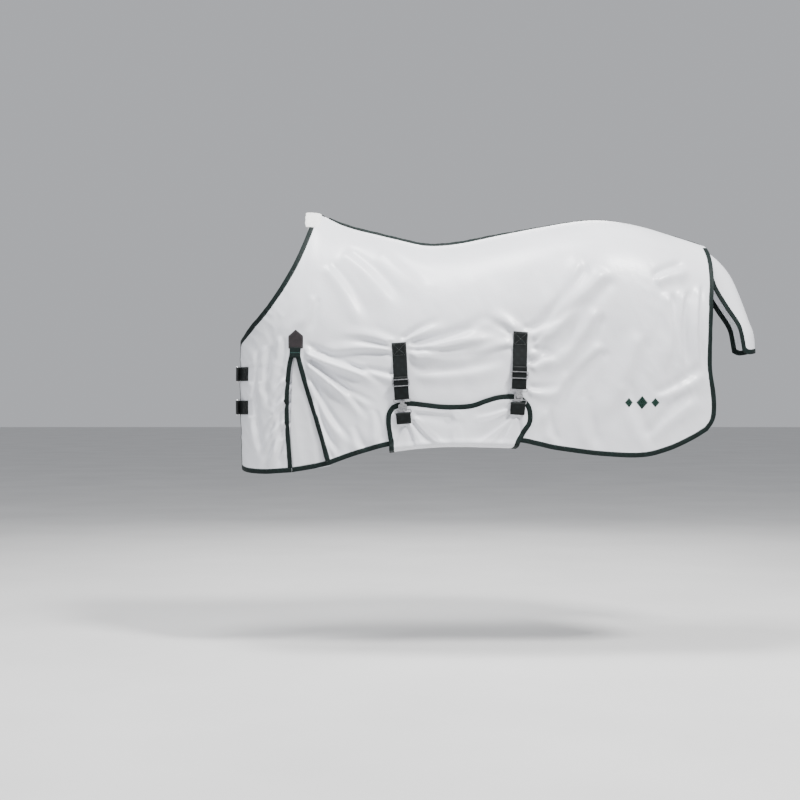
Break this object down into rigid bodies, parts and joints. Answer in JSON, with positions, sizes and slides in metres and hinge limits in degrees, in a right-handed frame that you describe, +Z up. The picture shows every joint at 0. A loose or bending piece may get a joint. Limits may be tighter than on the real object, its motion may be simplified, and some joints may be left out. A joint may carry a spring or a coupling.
{
  "type": "fly sheet",
  "caption": "White horse fly sheet with dark green bindings, shoulder gussets, buckled chest, belly flap on webbing straps and a tail flap, in its worn shape.",
  "frame": {"origin": "centre of the flat underside of the withers pad, where the sheet bears on the horse's withers", "axes": "+X along the back from the withers to the tail, -Y the horse's left side, +Z up"},
  "size_m": [1.8951, 0.6156, 0.9412],
  "materials": {
    "sheet_cloth": "fine satin-faced polyester weave",
    "insert_cloth": "fine satin-faced polyester weave, in the gusset's shade",
    "binding_tape": "dark green woven binding tape",
    "webbing": "black ribbed polypropylene webbing",
    "fleece": "short white fleece",
    "patch_leather": "dark coated leather patch",
    "nickel": "nickel-plated steel"
  },
  "bodies": {
    "root": {"body_panel_left": "sheet_cloth", "gusset_insert_left": "insert_cloth", "gusset_patch_left": "patch_leather", "neck_binding_left": "binding_tape", "hem_binding_left": "binding_tape", "rear_binding_left": "binding_tape", "gusset_binding_front_left": "binding_tape", "gusset_binding_rear_left": "binding_tape", "body_panel_right": "sheet_cloth", "gusset_insert_right": "insert_cloth", "gusset_patch_right": "patch_leather", "neck_binding_right": "binding_tape", "hem_binding_right": "binding_tape", "rear_binding_right": "binding_tape", "gusset_binding_front_right": "binding_tape", "gusset_binding_rear_right": "binding_tape", "spine_binding": "binding_tape", "withers_pad": "fleece", "surcingle_strap_front": "webbing", "surcingle_strap_rear": "webbing"},
    "left_front": {"front_panel_left": "sheet_cloth", "front_neck_binding_left": "binding_tape", "chest_binding_left": "binding_tape", "front_hem_binding_left": "binding_tape", "chest_tab_upper": "webbing", "chest_eye_upper": "nickel", "chest_tab_lower": "webbing", "chest_eye_lower": "nickel"},
    "right_front": {"front_panel_right": "sheet_cloth", "front_neck_binding_right": "binding_tape", "chest_binding_right": "binding_tape", "front_hem_binding_right": "binding_tape", "chest_strap_upper": "webbing", "chest_strap_lower": "webbing"},
    "tail_flap_body": {"tail_flap": "sheet_cloth", "tail_flap_binding": "binding_tape"},
    "belly_flap_body": {"belly_flap": "sheet_cloth", "belly_flap_binding": "binding_tape", "belly_tab_front": "webbing", "belly_eye_front": "nickel", "belly_tab_rear": "webbing", "belly_eye_rear": "nickel"},
    "front_slide_body": {"surcingle_slide_front": "nickel"},
    "front_hook_body": {"belly_hook_front": "nickel"},
    "rear_slide_body": {"surcingle_slide_rear": "nickel"},
    "rear_hook_body": {"belly_hook_rear": "nickel"},
    "chest_upper_slide_body": {"chest_slide_upper": "nickel"},
    "chest_upper_hook_body": {"chest_hook_upper": "nickel"},
    "chest_lower_slide_body": {"chest_slide_lower": "nickel"},
    "chest_lower_hook_body": {"chest_hook_lower": "nickel"}
  },
  "joints": [
    {"name": "left_front_opening", "type": "hinge", "parent": "root", "child": "left_front", "pos_m": [-0.0925, -0.206, -0.6], "axis": [0, 0, 1], "range_deg": [0, 45]},
    {"name": "right_front_opening", "type": "hinge", "parent": "root", "child": "right_front", "pos_m": [-0.0925, 0.206, -0.6], "axis": [0, 0, -1], "range_deg": [0, 45]},
    {"name": "tail_flap_lift", "type": "hinge", "parent": "root", "child": "tail_flap_body", "pos_m": [1.432, 0, -0.128], "axis": [0, -1, 0], "range_deg": [0, 60]},
    {"name": "belly_flap_drop", "type": "hinge", "parent": "root", "child": "belly_flap_body", "pos_m": [0.5, 0.283, -0.836], "axis": [1, 0, 0], "range_deg": [0, 70]},
    {"name": "front_slide_adjust", "type": "slide", "parent": "root", "child": "front_slide_body", "axis": [-0.0665, -0.0075, 0.9978], "range_m": [-0.012, 0.012]},
    {"name": "front_hook_tilt", "type": "hinge", "parent": "root", "child": "front_hook_body", "pos_m": [0.32957, -0.29205, -0.66247], "axis": [-0.9893, 0.124, -0.0769], "range_deg": [0, 60]},
    {"name": "rear_slide_adjust", "type": "slide", "parent": "root", "child": "rear_slide_body", "axis": [0.0383, -0.028, 0.9989], "range_m": [-0.012, 0.012]},
    {"name": "rear_hook_tilt", "type": "hinge", "parent": "root", "child": "rear_hook_body", "pos_m": [0.73324, -0.30706, -0.62678], "axis": [-0.9967, -0.0645, 0.049], "range_deg": [0, 60]},
    {"name": "chest_upper_slide_adjust", "type": "slide", "parent": "right_front", "child": "chest_upper_slide_body", "axis": [-0.4416, -0.8972, 0.0029], "range_m": [-0.005, 0.005]},
    {"name": "chest_upper_hook_tilt", "type": "hinge", "parent": "right_front", "child": "chest_upper_hook_body", "pos_m": [-0.27235, 0.03204, -0.57477], "axis": [0, 0, -1], "range_deg": [0, 45]},
    {"name": "chest_lower_slide_adjust", "type": "slide", "parent": "right_front", "child": "chest_lower_slide_body", "axis": [-0.4482, -0.8939, -0.0009], "range_m": [-0.005, 0.005]},
    {"name": "chest_lower_hook_tilt", "type": "hinge", "parent": "right_front", "child": "chest_lower_hook_body", "pos_m": [-0.27312, 0.03165, -0.6952], "axis": [0, 0, -1], "range_deg": [0, 45]}
  ]
}
